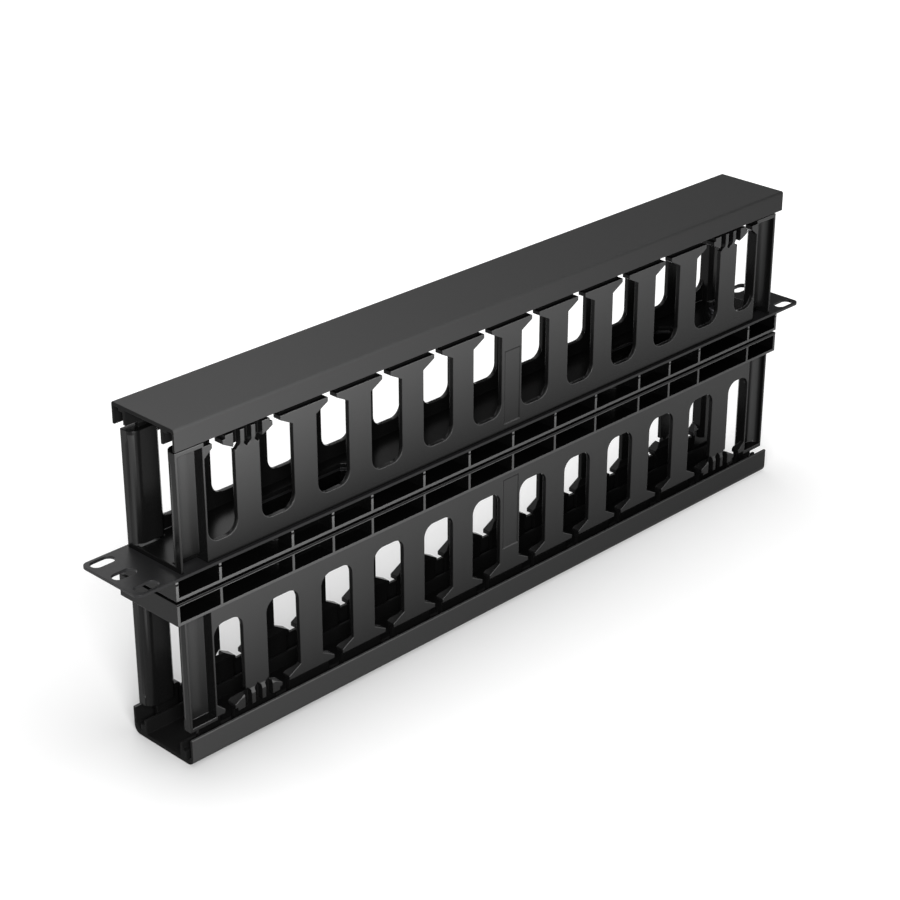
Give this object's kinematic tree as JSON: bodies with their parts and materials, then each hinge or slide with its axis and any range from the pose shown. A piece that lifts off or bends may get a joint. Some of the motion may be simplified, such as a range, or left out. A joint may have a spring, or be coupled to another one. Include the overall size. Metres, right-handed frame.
{
  "type": "horizontal cable manager",
  "caption": "Double-sided rack-mount cable manager: two slotted finger ducts back to back on a steel plate with slotted ears, ribbed base frames and clip-on covers.",
  "frame": {"origin": "centre of the footprint, on the surface that the rear cover rests on", "axes": "+X along the 19 inch width, +Y across the rack unit, +Z from the rear of the rack to its front"},
  "size_m": [0.4826, 0.044, 0.174],
  "materials": {
    "cover_plastic": "satin black moulded plastic",
    "duct_plastic": "satin black moulded plastic",
    "plate_paint": "black powder coat",
    "screw_steel": "blackened steel"
  },
  "bodies": {
    "manager": {"front_duct": "duct_plastic", "rear_duct": "duct_plastic", "rack_plate": "plate_paint", "front_base_frame": "duct_plastic", "rear_base_frame": "duct_plastic", "through_screws": "screw_steel", "screw_nuts": "screw_steel"},
    "front_cover_body": {"front_cover": "cover_plastic"},
    "rear_cover_body": {"rear_cover": "cover_plastic"}
  },
  "joints": [
    {"name": "front_cover_pull", "type": "slide", "parent": "manager", "child": "front_cover_body", "axis": [0, 0, 1], "range_m": [0, 0.03]},
    {"name": "rear_cover_pull", "type": "slide", "parent": "manager", "child": "rear_cover_body", "axis": [0, 0, -1], "range_m": [0, 0.03]}
  ]
}
